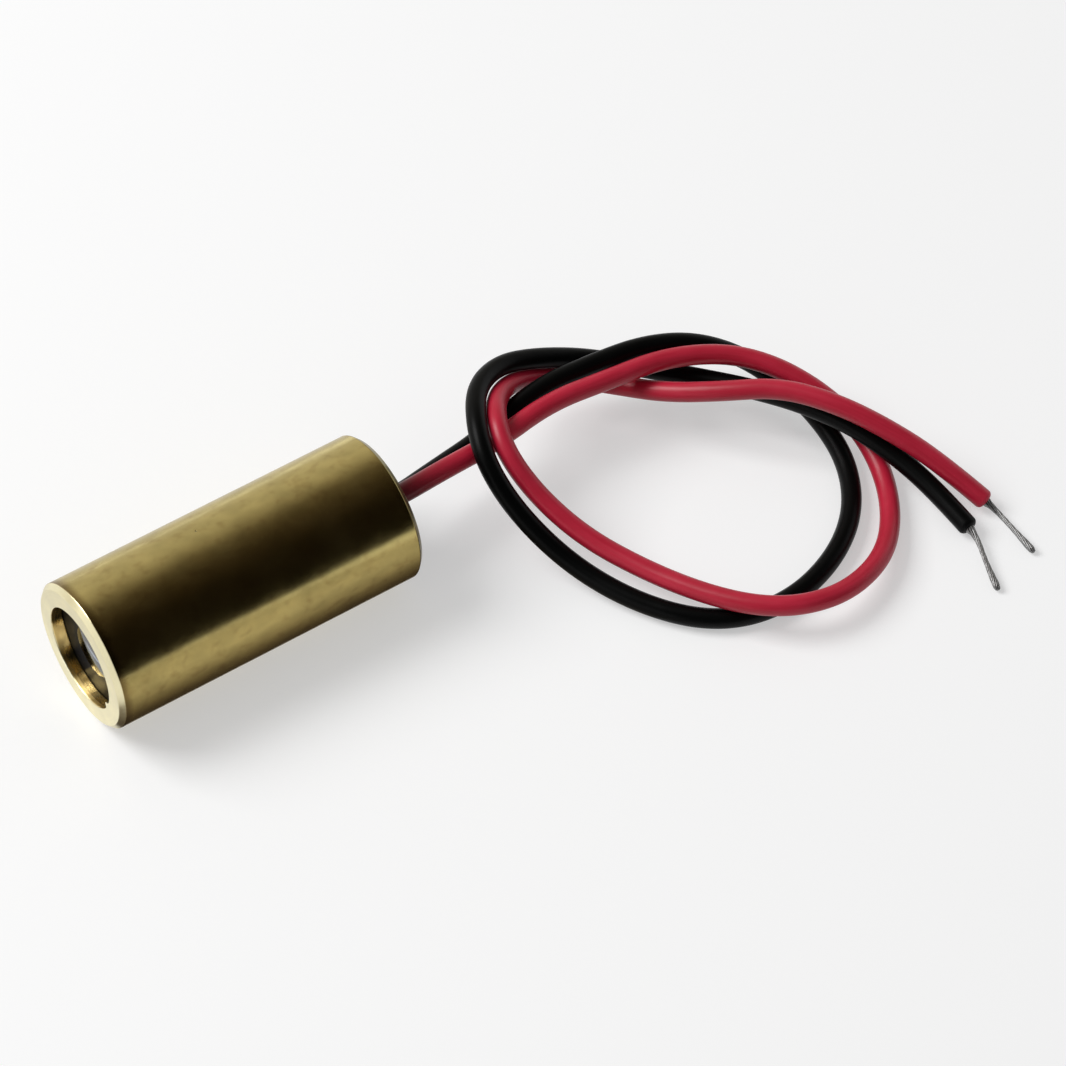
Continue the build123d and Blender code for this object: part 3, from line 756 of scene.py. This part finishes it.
# Finishes of the pieces inside
moulding = moulded("black_moulding", (0.008, 0.008, 0.008, 1), (0.03, 0.03, 0.03, 1), 0.55)
gilt = drawn_metal("gilt_steel", (0.62, 0.45, 0.16, 1), (0.86, 0.68, 0.32, 1), 0.28)
silicon = moulded("chip_silicon", (0.03, 0.03, 0.035, 1), (0.1, 0.1, 0.12, 1), 0.25)
tinned = drawn_metal("tinned_metal", (0.45, 0.45, 0.45, 1), (0.72, 0.72, 0.72, 1), 0.3)
glass = clear("window_glass", (0.95, 0.97, 0.97, 1.0), 1.5, 0.01)
INSIDE = {
    moulding: ["lens_spacer", "drive_transistor", "control_transistor"],
    drawn_metal("holder_brass", (0.58, 0.45, 0.17, 1), (0.76, 0.62, 0.28, 1), 0.3): ["diode_holder"],
    gilt: ["diode_header", "laser_pin", "monitor_pin", "common_pin"],
    drawn_metal("cap_steel", (0.5, 0.5, 0.5, 1), (0.7, 0.7, 0.7, 1), 0.28): ["diode_cap"],
    glass: ["diode_window", "pin_seals"],
    moulded("submount_ceramic", (0.5, 0.49, 0.45, 1), (0.65, 0.64, 0.6, 1), 0.6): ["laser_submount"],
    silicon: ["laser_chip", "monitor_photodiode"],
    moulded("board_laminate", (0.01, 0.09, 0.03, 1), (0.03, 0.16, 0.06, 1), 0.4, 6.0): ["driver_board"],
    drawn_metal("pad_copper", (0.6, 0.26, 0.12, 1), (0.8, 0.42, 0.24, 1), 0.35): ["copper_pads"],
    tinned: ["transistor_legs", "chip_terminals", "solder_joints", "red_core", "black_core"],
    moulded("resistor_ceramic", (0.01, 0.01, 0.01, 1), (0.05, 0.05, 0.05, 1), 0.45): ["chip_resistors"],
    moulded("capacitor_ceramic", (0.3, 0.18, 0.09, 1), (0.42, 0.28, 0.16, 1), 0.5): ["filter_capacitor"],
}
for material, names in INSIDE.items():
    for name in names:
        for material_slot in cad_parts[name].material_slots:
            material_slot.material = material


# Camera, at the photograph's viewing angle

AZIMUTH, ELEVATION = radians(56.0), radians(50.0)
IMAGE_SIDE = 1066
FOCAL_PIXELS = 5295
SENSOR = 36.0
CLIP_START = 0.01
CAMERA_BACK, CAMERA_RIGHT, CAMERA_UP = 297.6, 16.89, 2.67
back = Vector((sin(AZIMUTH) * cos(ELEVATION), -cos(AZIMUTH) * cos(ELEVATION), sin(ELEVATION)))
right = Vector((cos(AZIMUTH), sin(AZIMUTH), 0.0))
up = back.cross(right)
camera_data = bpy.data.cameras.new("camera")
camera_data.sensor_width = SENSOR
camera_data.lens = SENSOR * FOCAL_PIXELS / IMAGE_SIDE
camera_data.clip_start = CLIP_START
camera = link(bpy.data.objects.new("camera", camera_data))
turn = Matrix((right, up, back)).transposed().to_4x4()
stand = back * CAMERA_BACK + right * CAMERA_RIGHT + up * CAMERA_UP
camera.matrix_world = Matrix.Translation(stand * MM) @ turn
bpy.context.scene.camera = camera


# Stage: a pale floor, a light tent and shades that only gloss shows, a soft lamp and a white world

FLOOR_R = 1.5
FLOOR_COLOUR = 0.6
FLOOR_GLOW = 0.44

# The tent's levels by its turn from the top in degrees, and the shades' by their place on the floor
TENT_R = 500.0
TENT_REACH = (-700.0, 700.0)
TENT_LEVELS = [(-105, 0.68), (-91, 0.65), (-73, 0.62), (-55, 0.56), (-45, 0.47), (-37, 0.37), (-28, 0.24),
               (-19, 0.115), (-10, 0.08), (-1, 0.05), (8, 0.033), (17, 0.021), (26, 0.013), (35, 0.0085),
               (60, 0.005), (95, 0.005)]
SHADE_LIFT = 0.03
RIGHT_REACH = (-14.0, 20.0)
RIGHT_LEVELS = [(3.0, 0.04), (4.35, 0.066), (5.8, 0.155), (7.9, 0.34), (11.9, 0.55), (23.5, 0.52),
                (60.0, 0.47), (200.0, 0.45)]
LEFT_REACH = (-10.0, 20.0)
LEFT_LEVELS = [(-200.0, 0.66), (-26.5, 0.72), (-13.4, 0.79), (-8.7, 0.83), (-4.4, 0.85)]
FRONT_REACH = (-14.0, 4.0)
FRONT_LEVELS = [(-20.0, 0.78), (-14.2, 0.78), (-13.0, 0.86), (-11.6, 0.96)]

# A small light before the lens, as rows of (x, upper z, lower z, level)
LENS_LIGHT_PLACE = -10.3
LENS_LIGHT_ROWS = [(-2.75, -2.34, -2.46, 1.2), (-2.0, -2.26, -2.6, 2.2), (-1.2, -2.26, -2.64, 2.2),
                   (-0.1, -2.34, -2.66, 1.3)]
SKY = 0.3
LAMP_PLACE = Vector((-0.2, -0.2, 0.32))
LAMP_SIZE = 0.24
LAMP_WATTS = 1.44


def seen_rays(tree):
    """1 for a ray that shows the background: to the camera, off gloss or through glass."""
    rays = tree.node("ShaderNodeLightPath")
    seen = rays.out("Is Camera Ray").math("MAXIMUM", rays.out("Is Glossy Ray"))
    return seen.math("MAXIMUM", rays.out("Is Transmission Ray"))


def make_floor():
    bm = bmesh.new()
    bmesh.ops.create_circle(bm, cap_ends=True, segments=96, radius=FLOOR_R)
    bmesh.ops.translate(bm, verts=bm.verts, vec=(0.0, 0.0, TABLE * MM))
    mesh = bpy.data.meshes.new("floor")
    bm.to_mesh(mesh)
    bm.free()
    paint = (FLOOR_COLOUR, FLOOR_COLOUR, FLOOR_COLOUR, 1)
    finish = Finish("floor_white", {"Base Color": paint, "Roughness": 1.0, "Specular IOR Level": 0.0,
                                    "Emission Strength": FLOOR_GLOW})
    finish.feed(Emission_Color=finish.mix(seen_rays(finish), (0, 0, 0, 1), (1, 1, 1, 1)))
    mesh.materials.append(finish.material)
    return link(bpy.data.objects.new("floor", mesh))


def make_lining(name, edges):
    """A sheet that only gloss shows, through edges of (start, end, level), the darker the warmer."""
    bm = bmesh.new()
    glow = bm.verts.layers.float_color.new("glow")
    rows = []
    for start, end, level in edges:
        row = [bm.verts.new(Vector(place) * MM) for place in (start, end)]
        for vertex in row:
            vertex[glow] = (level, level ** 1.1, level ** 1.25, 1.0)
        rows.append(row)
    for (a, b), (c, d) in zip(rows, rows[1:]):
        bm.faces.new((a, b, d, c))
    mesh = bpy.data.meshes.new(name)
    bm.to_mesh(mesh)
    bm.free()
    finish = Finish(name, {"Base Color": (0, 0, 0, 1), "Roughness": 1.0, "Specular IOR Level": 0.0,
                           "Emission Strength": 1.0})
    finish.feed(Emission_Color=finish.node("ShaderNodeAttribute", {"attribute_name": "glow"}).out("Color"))
    mesh.materials.append(finish.material)
    lining = link(bpy.data.objects.new(name, mesh))
    for kind in ("camera", "diffuse", "shadow", "transmission"):
        setattr(lining, "visible_" + kind, False)
    return lining


def edges_along_y(outline, reach):
    """Edges from reach's start to its end, through points of (x, z, level)."""
    return [((x, reach[0], z), (x, reach[1], z), level) for x, z, level in outline]


tent_outline = [(TENT_R * sin(radians(a)), TENT_R * cos(radians(a)), level) for a, level in TENT_LEVELS]
low = TABLE + SHADE_LIFT
right_outline = [(x, low, level) for x, level in RIGHT_LEVELS]
left_outline = [(x, low, level) for x, level in LEFT_LEVELS]
front_edges = [((FRONT_REACH[0], y, low), (FRONT_REACH[1], y, low), level) for y, level in FRONT_LEVELS]
lens_edges = [((x, LENS_LIGHT_PLACE, top), (x, LENS_LIGHT_PLACE, bottom), level)
              for x, top, bottom, level in LENS_LIGHT_ROWS]
make_floor()
make_lining("light_tent", edges_along_y(tent_outline, TENT_REACH))
make_lining("right_shade", edges_along_y(right_outline, RIGHT_REACH))
make_lining("left_shade", edges_along_y(left_outline, LEFT_REACH))
make_lining("front_shade", front_edges)
make_lining("lens_light", lens_edges)

lamp_data = bpy.data.lights.new("soft_lamp", "AREA")
lamp_data.size = LAMP_SIZE
lamp_data.energy = LAMP_WATTS
lamp = link(bpy.data.objects.new("soft_lamp", lamp_data))
lamp.location = LAMP_PLACE
lamp.rotation_euler = LAMP_PLACE.to_track_quat("Z", "Y").to_euler()

world = bpy.data.worlds.new("white_room")
world.use_nodes = True
room = Tree(world.node_tree)
room.tree.nodes.clear()
strength = SKY + (1 - SKY) * seen_rays(room)
sky = room.node("ShaderNodeBackground", None, {"Color": (1, 1, 1, 1), "Strength": strength})
room.node("ShaderNodeOutputWorld", None, {"Surface": sky})
bpy.context.scene.world = world
bpy.context.scene.view_settings.view_transform = "Standard"
